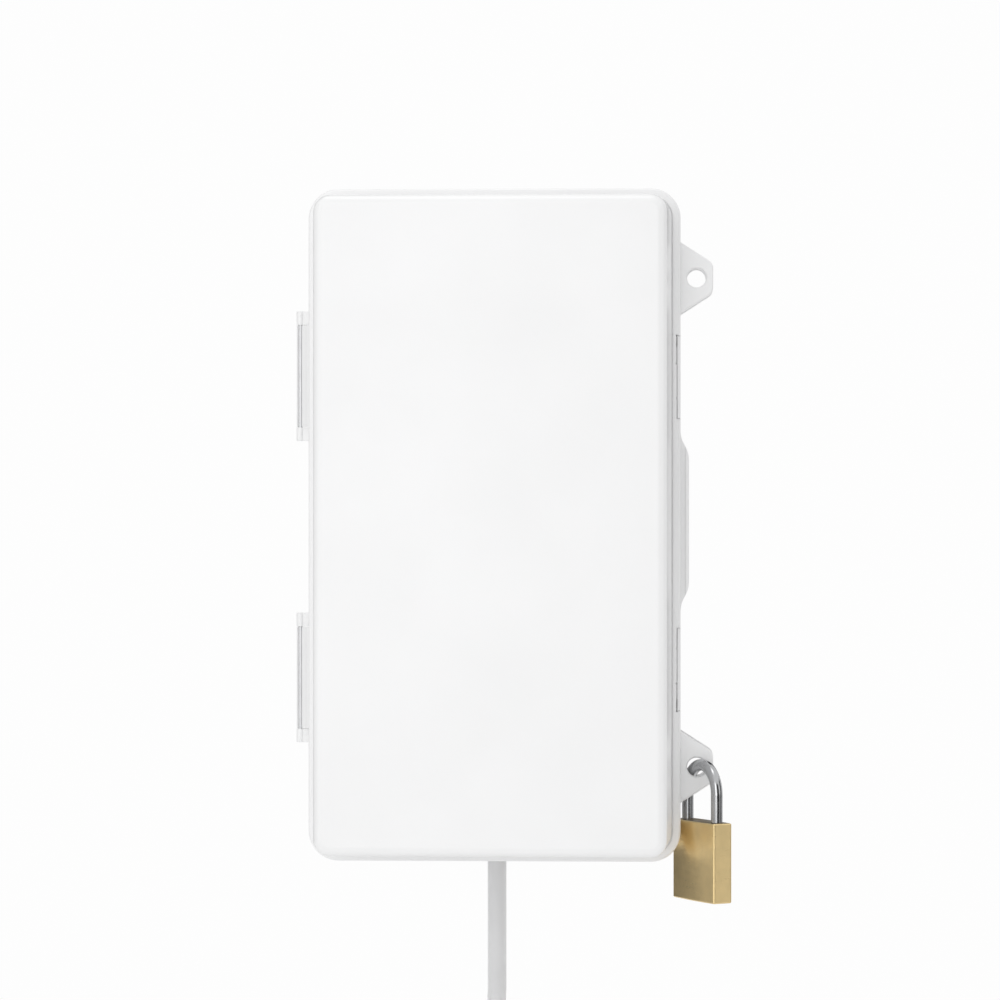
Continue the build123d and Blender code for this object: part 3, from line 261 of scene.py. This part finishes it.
for strap_name, tie_angle in tie_angles.items():
    angle = radians(tie_angle)
    reach = cord_radius + tie_gap
    around_turns = [
        (
            distance + reach * cos(radians(step * 10)),
            depth + reach * sin(radians(step * 10)),
        )
        for distance, depth in sections_at(angle)
        for step in range(36)
    ]
    places, ways, spacing = resample(hull(around_turns), tie_spacing)
    count = len(places)
    front = max(range(count), key=lambda number: places[number].y + 0.2 * places[number].x)
    overlap_steps = round(tie_overlap / spacing)
    points = []
    rows = count + overlap_steps
    for number in range(rows):
        index = (front + number) % count
        on_top = number - count
        rise = 0.0
        if on_top > -tie_ramp_rows:
            share = min((on_top + tie_ramp_rows) / tie_ramp_rows, 1.0)
            rise = (tie_thickness + tie_lift) * share
        start = min(number, tie_start_rows) / tie_start_rows
        end = min(rows - 1 - number, tie_end_rows) / tie_end_rows
        half = tie_width / 2 * sqrt(1 - (1 - end) ** 2 * 0.55) * (0.96 + 0.04 * start)
        inner = places[index] + ways[index] * rise
        outer = inner + ways[index] * tie_thickness
        centre = (inner + outer) / 2
        for across, place in (
            (-half + tie_rim, inner),
            (half - tie_rim, inner),
            (half, centre),
            (half - tie_rim, outer),
            (-half + tie_rim, outer),
            (-half, centre),
        ):
            points.append((across, place.x, place.y))
    turn = Matrix(
        (
            (-sin(angle), cos(angle), 0, 0),
            (0, 0, -1, 0),
            (cos(angle), sin(angle), 0, coil_middle_z),
            (0, 0, 0, 1),
        )
    )
    strap = mesh_piece(
        strap_name, points, ring_faces(rows, 6, False), "base", "tie_fabric", turn
    )
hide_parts("coil_ties")

# The cord inside the box, squeezed a little in the gland and under the clamp

inner_top = -0.117
sheath_steps = 64
sheath_around = 40
end_round = 0.00025

# Each squeeze: middle height, half length, depth all round, depth at the front
squeezes = ((-0.1635, 0.006, 0.00022, 0.0), (-0.142, 0.0065, 0.0, 0.00035))
points = []
for step in range(sheath_steps + 1):
    height = gland_exit + (inner_top - gland_exit) * step / sheath_steps
    evenly, flat = 0.0, 0.0
    for centre, half, round_depth, flat_depth in squeezes:
        share = max(0.0, 1 - ((height - centre) / half) ** 2)
        evenly += round_depth * min(1.0, 3 * share)
        flat += flat_depth * min(1.0, 3 * share)
    edge = end_round if step == sheath_steps else 0.0
    for turn in range(sheath_around):
        way = 2 * pi * turn / sheath_around
        radius = cord_radius - evenly - edge - flat * max(0.0, -sin(way)) ** 3
        points.append((radius * cos(way), -cord_depth + radius * sin(way), height))
inner_cord = mesh_piece(
    "sheathed_cord",
    points,
    ring_faces(sheath_steps + 1, sheath_around, False),
    "base",
    "cord_sheath",
)
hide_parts("inner_cord")

# The lid's seal: a hollow-backed bead with a rounded lip, all round the groove

box_half = (0.093, 0.168)
box_corner = 0.015
seal_inset = 0.0049
seal_back = 0.05603
seal_front = 0.0582
seal_half = 0.00098
corner_steps = 20
seal_profile = []
for step in range(17):
    way = pi * step / 16
    seal_profile.append((-seal_half * cos(way), seal_back + seal_half * (1 - sin(way))))
seal_profile += [
    (seal_half, seal_front - 0.0011),
    (seal_half * 0.86, seal_front - 0.0009),
    (seal_half * 0.86, seal_front - 0.0006),
    (seal_half, seal_front - 0.0004),
    (seal_half * 0.92, seal_front),
    (seal_half * 0.3, seal_front),
    (0.0, seal_front - 0.0003),
    (-seal_half * 0.3, seal_front),
    (-seal_half * 0.92, seal_front),
    (-seal_half, seal_front - 0.0004),
    (-seal_half * 0.86, seal_front - 0.0006),
    (-seal_half * 0.86, seal_front - 0.0009),
    (-seal_half, seal_front - 0.0011),
]
stations = []
for quarter in range(4):
    x_side = 1 if quarter in (0, 3) else -1
    z_side = 1 if quarter in (0, 1) else -1
    centre = (
        x_side * (box_half[0] - box_corner),
        z_side * (box_half[1] - box_corner),
    )
    for step in range(corner_steps + 1):
        way = radians(90 * (quarter + step / corner_steps))
        stations.append((centre, way))
points = []
for centre, way in stations:
    for aside, depth in seal_profile:
        radius = box_corner - seal_inset + aside
        points.append((centre[0] + radius * cos(way), -depth, centre[1] + radius * sin(way)))
seal_bead = mesh_piece(
    "seal_bead",
    points,
    ring_faces(len(stations), len(seal_profile), True),
    "lid",
    "grey_seal",
)
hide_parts("lid_seal")

# Raised marks on the rocker: a bar for on and a ring for off

rocker_pivot = Vector((0, -0.0395, -0.090))
rocker_tilt = radians(8)
rocker_along = Vector((0, -sin(rocker_tilt), cos(rocker_tilt)))
rocker_out = Vector((0, -cos(rocker_tilt), -sin(rocker_tilt)))
rocker_dip_radius = 0.0551
rocker_dip_height = 0.0017
mark_height = 0.00018
mark_root = 0.0001
mark_place = 0.0072


def rocker_surface(across, along, above):
    """A point above the rocker's hollow top."""
    rise = rocker_dip_radius - sqrt(rocker_dip_radius**2 - along**2)
    return (
        rocker_pivot
        + Vector((across, 0, 0))
        + rocker_along * along
        + rocker_out * (rocker_dip_height + rise + above)
    )


def mark(name, rings, closed):
    """A raised mark: rings are closed rows of (across, along, share of the height)."""
    around = len(rings[0])
    points = [
        rocker_surface(across, along, -mark_root + (mark_height + mark_root) * share)
        for ring in rings
        for across, along, share in ring
    ]
    faces = ring_faces(len(rings), around, closed)
    return mesh_piece(name, points, faces, "rocker", "socket_plastic")


def mark_profile(half):
    """The cross-section of a raised line: (offset, share of the height)."""
    return (
        (-half, 0.0),
        (-half, 0.75),
        (-half * 0.7, 1.0),
        (half * 0.7, 1.0),
        (half, 0.75),
        (half, 0.0),
    )


ring_radius = 0.0019
ring_line_half = 0.00032
ring_steps = 48
ring_rows = []
for step in range(ring_steps):
    way = 2 * pi * step / ring_steps
    row = []
    for offset, share in mark_profile(ring_line_half):
        radius = ring_radius + offset
        row.append((radius * cos(way), -mark_place + radius * sin(way), share))
    ring_rows.append(row)
mark("rocker_mark_off", ring_rows, True)

bar_half = 0.0019
bar_line_half = 0.00034
bar_ends = ((0.8, 1.0), (0.93, 0.92), (1.0, 0.55))
bar_shape = [(-along, width) for along, width in reversed(bar_ends)]
bar_shape += [(0.0, 1.0), *bar_ends]
bar_rows = [
    [
        (offset * width, mark_place + bar_half * along, share)
        for offset, share in mark_profile(bar_line_half)
    ]
    for along, width in bar_shape
]
mark("rocker_mark_on", bar_rows, False)

# Materials. Coordinates are the object's own, in metres, so a scale is features per metre.


class Look:
    """A material made of a Principled shader and node textures."""

    def __init__(self, name, color, roughness, **sockets):
        self.material = bpy.data.materials.new(name)
        self.material.use_nodes = True
        self.tree = self.material.node_tree
        self.shader = self.tree.nodes["Principled BSDF"]
        self.color = color
        self.roughness = roughness
        self.set(self.shader, {"Base Color": (*color, 1), "Roughness": roughness})
        self.set(self.shader, sockets)
        self.coordinates = self.tree.nodes.new("ShaderNodeTexCoord").outputs["Object"]
        self.normal = None

    @staticmethod
    def set(node, values):
        for socket, value in values.items():
            node.inputs[socket].default_value = value

    def add(self, kind, values=None, links=None, **settings):
        node = self.tree.nodes.new(kind)
        for key, value in settings.items():
            setattr(node, key, value)
        self.set(node, values or {})
        for socket, output in (links or {}).items():
            self.tree.links.new(output, node.inputs[socket])
        return node

    def mapped(self, stretch):
        """The coordinates, stretched."""
        node = self.add("ShaderNodeMapping", {"Scale": stretch}, {"Vector": self.coordinates})
        return node.outputs["Vector"]

    def noise(self, scale, detail=3.0, stretch=None, rough=0.5):
        """Noise of about so many features per metre."""
        vector = self.mapped(stretch) if stretch else self.coordinates
        node = self.add(
            "ShaderNodeTexNoise",
            {"Scale": scale, "Detail": detail, "Roughness": rough},
            {"Vector": vector},
        )
        return node.outputs["Fac"]

    def spread(self, value, low, high, start=0.3, stop=0.7):
        """A value between start and stop, carried over to between low and high."""
        node = self.add(
            "ShaderNodeMapRange",
            {"From Min": start, "From Max": stop, "To Min": low, "To Max": high},
            {"Value": value},
        )
        return node.outputs["Result"]

    def vary_roughness(self, value, amount):
        result = self.spread(value, self.roughness - amount, self.roughness + amount)
        self.tree.links.new(result, self.shader.inputs["Roughness"])

    def vary_color(self, value, other, start=0.3, stop=0.7):
        """The colour goes over to the other one as the value goes from start to stop."""
        ramp = self.add("ShaderNodeValToRGB", None, {"Fac": value})
        ramp.color_ramp.elements[0].position = start
        ramp.color_ramp.elements[0].color = (*self.color, 1)
        ramp.color_ramp.elements[1].position = stop
        ramp.color_ramp.elements[1].color = (*other, 1)
        self.tree.links.new(ramp.outputs["Color"], self.shader.inputs["Base Color"])

    def round_edges(self, radius):
        """Edges that are shaded as if they were rounded."""
        self.normal = self.add("ShaderNodeBevel", {"Radius": radius}, samples=6).outputs[
            "Normal"
        ]
        self.tree.links.new(self.normal, self.shader.inputs["Normal"])

    def dull_and_painted_dark_ends(self, share, roughness):
        """Ends that face up or down are duller than the polished sides, and their colour is
        darkened as painted shade.
        """
        parts = self.add("ShaderNodeSeparateXYZ")
        normal = self.coordinates.node.outputs["Normal"]
        self.tree.links.new(normal, parts.inputs["Vector"])
        steep = self.add("ShaderNodeMath", operation="ABSOLUTE")
        self.tree.links.new(parts.outputs["Z"], steep.inputs[0])
        dull_and_painted_dark_mask = self.spread(steep.outputs["Value"], 0.0, 1.0, 0.8, 0.95)
        for socket, end in (("Base Color", None), ("Roughness", roughness)):
            sides = self.shader.inputs[socket].links[0].from_socket
            mix = self.add("ShaderNodeMix", data_type="FLOAT" if end else "RGBA")
            factor, first, second = [port for port in mix.inputs if port.enabled]
            self.tree.links.new(dull_and_painted_dark_mask, factor)
            self.tree.links.new(sides, first)
            # Painted shade: the ends' colour is the sides' colour times share, far darker than the
            # metal is.
            second.default_value = end or (*[channel * share for channel in self.color], 1)
            result = [port for port in mix.outputs if port.enabled][0]
            self.tree.links.new(result, self.shader.inputs[socket])

    def draw_out(self, amount):
        """Gloss is drawn out up and down, across the fine level lines."""
        tangent = self.add("ShaderNodeTangent", direction_type="RADIAL", axis="Z")
        self.tree.links.new(tangent.outputs["Tangent"], self.shader.inputs["Tangent"])
        self.set(self.shader, {"Anisotropic": amount, "Anisotropic Rotation": 0.25})

    def bump(self, height, distance, strength=1.0):
        """Relief: distance is its height in metres."""
        links = {"Height": height}
        if self.normal is not None:
            links["Normal"] = self.normal
        node = self.add("ShaderNodeBump", {"Distance": distance, "Strength": strength}, links)
        self.normal = node.outputs["Normal"]
        self.tree.links.new(self.normal, self.shader.inputs["Normal"])

    def join(self, first, second, operation="ADD"):
        node = self.add("ShaderNodeMath", operation=operation)
        self.tree.links.new(first, node.inputs[0])
        self.tree.links.new(second, node.inputs[1])
        return node.outputs["Value"]

    def wave(self, scale, direction, stretch=(1, 1, 1)):
        node = self.add(
            "ShaderNodeTexWave",
            {"Scale": scale, "Distortion": 0.6, "Detail": 1.0, "Detail Scale": 1.0},
            {"Vector": self.mapped(stretch)},
            bands_direction=direction,
            wave_profile="SIN",
        )
        return node.outputs["Fac"]


def plastic(name, color, roughness, grain, grain_height, edge=0.0, wavy=0.25, **sockets):
    """Moulded plastic: a fine grain, a slow waviness and a faint change of colour."""
    look = Look(name, color, roughness, **sockets)
    darker = tuple(channel * 0.975 for channel in color)
    look.vary_color(look.noise(16, 2.0), darker)
    look.vary_roughness(look.noise(40, 2.0), 0.02)
    if edge:
        look.round_edges(edge)
    look.bump(look.noise(70, 2.0), 0.00008, wavy)
    look.bump(look.noise(grain, 2.0), grain_height)
    return look.material


def metal(name, color, roughness, stretch, edge=0.0, brushed_with_painted_dark_ends=False):
    """Metal with fine lines, drawn out along where stretch is small."""
    look = Look(name, color, roughness, Metallic=1.0)
    lines = look.noise(1.0, 3.0, stretch, 0.65)
    look.vary_color(look.noise(140, 4.0), tuple(channel * 0.9 for channel in color))
    look.vary_roughness(lines, 0.07)
    if brushed_with_painted_dark_ends:
        # Painted shade: ends facing up or down get their colour darkened to 16 %, besides a duller
        # roughness.
        look.dull_and_painted_dark_ends(0.16, 0.5)
        look.draw_out(0.6)
    if edge:
        look.round_edges(edge)
    look.bump(lines, 0.000012, 0.5)
    return look.material


def rubber(name, color, roughness, **sockets):
    """Soft rubber or a cord's sheath: matt, with a fine grain and faint handling marks."""
    look = Look(name, color, roughness, **sockets)
    look.vary_color(look.noise(45, 4.0), tuple(channel * 0.94 for channel in color))
    look.vary_roughness(look.noise(220, 4.0), 0.06)
    look.bump(look.noise(120, 2.0), 0.0001, 0.2)
    look.bump(look.noise(3200, 2.0), 0.00002, 0.6)
    return look.material


def strap_weave(name, color):
    """A woven hook and loop strap: crossing threads with a soft pile."""
    look = Look(name, color, 0.85)
    look.set(look.shader, {"Sheen Weight": 0.35, "Sheen Roughness": 0.4})
    across = look.wave(170, "X")
    along = look.wave(170, "DIAGONAL", (0, 1, 1))
    weave = look.join(across, along, "MULTIPLY")
    pile = look.noise(1500, 4.0)
    look.vary_color(look.join(weave, pile), (0.032, 0.032, 0.036), 0.35, 1.3)
    look.vary_roughness(pile, 0.08)
    look.bump(weave, 0.00025)
    look.bump(pile, 0.00012)
    return look.material


sheath_sheen = {"Sheen Weight": 1.0, "Sheen Roughness": 0.6}
looks = {
    "white_casing": plastic(
        "white_casing", (0.885, 0.886, 0.888), 0.3, 2600, 0.000006, 0.0003, 0.05
    ),
    "gland_plastic": plastic("gland_plastic", (0.80, 0.81, 0.81), 0.46, 2200, 0.00002, 0.0003),
    "strip_plastic": plastic("strip_plastic", (0.84, 0.84, 0.83), 0.42, 2000, 0.00002, 0.0003),
    "socket_plastic": plastic("socket_plastic", (0.74, 0.74, 0.73), 0.4, 2400, 0.00001, 0.0002),
    "switch_red": plastic(
        "switch_red", (0.58, 0.022, 0.016), 0.2, 1500, 0.000004, 0.0003, **{"Coat Weight": 0.3}
    ),
    "core_brown": plastic("core_brown", (0.10, 0.035, 0.014), 0.32, 1800, 0.00001),
    "core_blue": plastic("core_blue", (0.02, 0.08, 0.36), 0.32, 1800, 0.00001),
    "core_green": plastic("core_green", (0.06, 0.26, 0.03), 0.32, 1800, 0.00001),
    "grey_seal": rubber("grey_seal", (0.16, 0.165, 0.17), 0.6),
    "cord_sheath": rubber("cord_sheath", (0.67, 0.67, 0.675), 0.5, **sheath_sheen),
    "plug_rubber": rubber("plug_rubber", (0.67, 0.67, 0.675), 0.5, **sheath_sheen),
    "steel": metal("steel", (0.74, 0.745, 0.755), 0.5, (2600, 2600, 60)),
    "brass": metal("brass", (0.80, 0.56, 0.24), 0.3, (2600, 900, 80)),
    "plated_spring": metal("plated_spring", (0.68, 0.69, 0.70), 0.26, (2600, 900, 80)),
    "hardened_steel": metal("hardened_steel", (0.50, 0.505, 0.515), 0.17, (1800, 1800, 500)),
    "lock_brass": metal("lock_brass", (0.88, 0.68, 0.35), 0.34, (70, 70, 2800), 0.0003, True),
    "plug_nickel": metal("plug_nickel", (0.62, 0.61, 0.58), 0.28, (1500, 1500, 1500)),
    "plated_pin": metal("plated_pin", (0.70, 0.70, 0.68), 0.2, (2400, 2400, 70)),
    "tie_fabric": strap_weave("tie_fabric", (0.012, 0.012, 0.014)),
}

for part in frame["record"]["subparts"]:
    node = frame["nodes"][part["node"]]
    node.data.materials.clear()
    node.data.materials.append(looks[part["material_slot"]])
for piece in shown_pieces():
    if "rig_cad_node" not in piece:
        piece.data.materials.append(looks[piece["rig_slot"]])

# World: white to the camera and to reflections, softer where it lights

white = 0.985
world = bpy.data.worlds.new("world")
scene.world = world
world.use_nodes = True
tree = world.node_tree
tree.nodes.clear()
path = tree.nodes.new("ShaderNodeLightPath")
seen = tree.nodes.new("ShaderNodeMath")
seen.operation = "MAXIMUM"
tree.links.new(path.outputs["Is Camera Ray"], seen.inputs[0])
tree.links.new(path.outputs["Is Glossy Ray"], seen.inputs[1])
seen_all = tree.nodes.new("ShaderNodeMath")
seen_all.operation = "MAXIMUM"
tree.links.new(seen.outputs["Value"], seen_all.inputs[0])
tree.links.new(path.outputs["Is Transmission Ray"], seen_all.inputs[1])
lighting = tree.nodes.new("ShaderNodeBackground")
lighting.inputs["Color"].default_value = (0.80, 0.80, 0.80, 1)
backdrop = tree.nodes.new("ShaderNodeBackground")
backdrop.inputs["Color"].default_value = (white, white, white, 1)
choose = tree.nodes.new("ShaderNodeMixShader")
tree.links.new(seen_all.outputs["Value"], choose.inputs["Fac"])
tree.links.new(lighting.outputs["Background"], choose.inputs[1])
tree.links.new(backdrop.outputs["Background"], choose.inputs[2])
world_output = tree.nodes.new("ShaderNodeOutputWorld")
tree.links.new(choose.outputs["Shader"], world_output.inputs["Surface"])

# Lamps


def area_lamp(name, location, target, width, height, power):
    """A soft rectangular lamp that looks at a point."""
    data = bpy.data.lights.new(name, "AREA")
    data.shape = "RECTANGLE"
    data.size = width
    data.size_y = height
    data.energy = power
    lamp = bpy.data.objects.new(name, data)
    lamp.location = location
    lamp.rotation_euler = (Vector(target) - Vector(location)).to_track_quat("-Z", "Y").to_euler()
    lamp.visible_camera = False
    scene.collection.objects.link(lamp)
    return lamp


middle = (0.0, -0.05, -0.06)
area_lamp("key", (-0.3, -1.9, 0.3), middle, 0.7, 1.2, 4.25)
area_lamp("key_left", (-1.15, -1.5, 0.1), middle, 0.4, 1.4, 2.4)
area_lamp("top", (-0.2, -0.3, 1.7), middle, 1.2, 0.8, 5.0)

# Dark screens that only reflections see

screen_distance = 3.2
screen_middle = -0.1


def screen(name, azimuths, elevations, shade):
    """A curved screen that only reflections see. Azimuth 0 is the camera's side."""
    columns, rows = 24, 8
    points = []
    for row in range(rows + 1):
        elevation = radians(elevations[0] + (elevations[1] - elevations[0]) * row / rows)
        for column in range(columns + 1):
            azimuth = radians(azimuths[0] + (azimuths[1] - azimuths[0]) * column / columns)
            points.append((
                screen_distance * sin(azimuth) * cos(elevation),
                -screen_distance * cos(azimuth) * cos(elevation),
                screen_middle + screen_distance * sin(elevation),
            ))
    faces = []
    for row in range(rows):
        for column in range(columns):
            here = row * (columns + 1) + column
            above = here + columns + 1
            faces.append((here, here + 1, above + 1, above))
    mesh = bpy.data.meshes.new(name)
    mesh.from_pydata(points, [], faces)
    piece = bpy.data.objects.new(name, mesh)
    scene.collection.objects.link(piece)
    material = bpy.data.materials.new(name)
    material.use_nodes = True
    nodes = material.node_tree
    nodes.nodes.clear()
    glow = nodes.nodes.new("ShaderNodeEmission")
    glow.inputs["Color"].default_value = (shade, shade, shade, 1)
    output = nodes.nodes.new("ShaderNodeOutputMaterial")
    nodes.links.new(glow.outputs["Emission"], output.inputs["Surface"])
    mesh.materials.append(material)
    piece.visible_camera = False
    piece.visible_diffuse = False
    piece.visible_shadow = False
    piece.visible_transmission = False
    piece.visible_volume_scatter = False
    return piece


screen("screen_front_right", (10, 46), (-45, 30), 0.03)
screen("screen_right", (46, 76), (-45, 0), 0.4)
screen("screen_far_right", (76, 112), (-45, 30), 0.18)
screen("screen_left", (-98, -64), (-60, 50), 0.15)
screen("screen_far_left", (-172, -104), (-45, 60), 0.03)
screen("screen_back", (152, 172), (-45, 60), 0.04)

# Floor: pale under the object, and fading into the white round it

floor_height = -0.436
floor_radius = 1.25
edit = bmesh.new()
bmesh.ops.create_circle(edit, cap_ends=True, segments=96, radius=floor_radius)
floor_mesh = bpy.data.meshes.new("floor")
edit.to_mesh(floor_mesh)
edit.free()
floor = bpy.data.objects.new("floor", floor_mesh)
floor.location = (0, 0, floor_height)
scene.collection.objects.link(floor)
floor_material = bpy.data.materials.new("floor")
floor_material.use_nodes = True
nodes = floor_material.node_tree
floor_shader = nodes.nodes["Principled BSDF"]
floor_shader.inputs["Roughness"].default_value = 0.7
floor_output = nodes.nodes["Material Output"]
grain = nodes.nodes.new("ShaderNodeTexNoise")
grain.inputs["Scale"].default_value = 60
floor_ramp = nodes.nodes.new("ShaderNodeValToRGB")
floor_ramp.color_ramp.elements[0].color = (0.92, 0.92, 0.92, 1)
floor_ramp.color_ramp.elements[1].color = (0.94, 0.94, 0.94, 1)
nodes.links.new(grain.outputs["Fac"], floor_ramp.inputs["Fac"])
nodes.links.new(floor_ramp.outputs["Color"], floor_shader.inputs["Base Color"])
place = nodes.nodes.new("ShaderNodeTexCoord")
distance = nodes.nodes.new("ShaderNodeVectorMath")
distance.operation = "LENGTH"
nodes.links.new(place.outputs["Object"], distance.inputs[0])
fade = nodes.nodes.new("ShaderNodeMapRange")
fade.interpolation_type = "SMOOTHSTEP"
fade.inputs["From Min"].default_value = 0.35
fade.inputs["From Max"].default_value = floor_radius - 0.02
nodes.links.new(distance.outputs["Value"], fade.inputs["Value"])
glow = nodes.nodes.new("ShaderNodeEmission")
glow.inputs["Color"].default_value = (white, white, white, 1)
path = nodes.nodes.new("ShaderNodeLightPath")
seen = nodes.nodes.new("ShaderNodeMath")
seen.operation = "MAXIMUM"
nodes.links.new(path.outputs["Is Camera Ray"], seen.inputs[0])
nodes.links.new(path.outputs["Is Glossy Ray"], seen.inputs[1])
seen_fade = nodes.nodes.new("ShaderNodeMath")
seen_fade.operation = "MULTIPLY"
nodes.links.new(seen.outputs["Value"], seen_fade.inputs[0])
nodes.links.new(fade.outputs["Result"], seen_fade.inputs[1])
mix = nodes.nodes.new("ShaderNodeMixShader")
nodes.links.new(seen_fade.outputs["Value"], mix.inputs["Fac"])
nodes.links.new(floor_shader.outputs["BSDF"], mix.inputs[1])
nodes.links.new(glow.outputs["Emission"], mix.inputs[2])
geometry = nodes.nodes.new("ShaderNodeNewGeometry")
clear = nodes.nodes.new("ShaderNodeBsdfTransparent")
from_below = nodes.nodes.new("ShaderNodeMixShader")
nodes.links.new(geometry.outputs["Backfacing"], from_below.inputs["Fac"])
nodes.links.new(mix.outputs["Shader"], from_below.inputs[1])
nodes.links.new(clear.outputs["BSDF"], from_below.inputs[2])
nodes.links.new(from_below.outputs["Shader"], floor_output.inputs["Surface"])
floor_mesh.materials.append(floor_material)
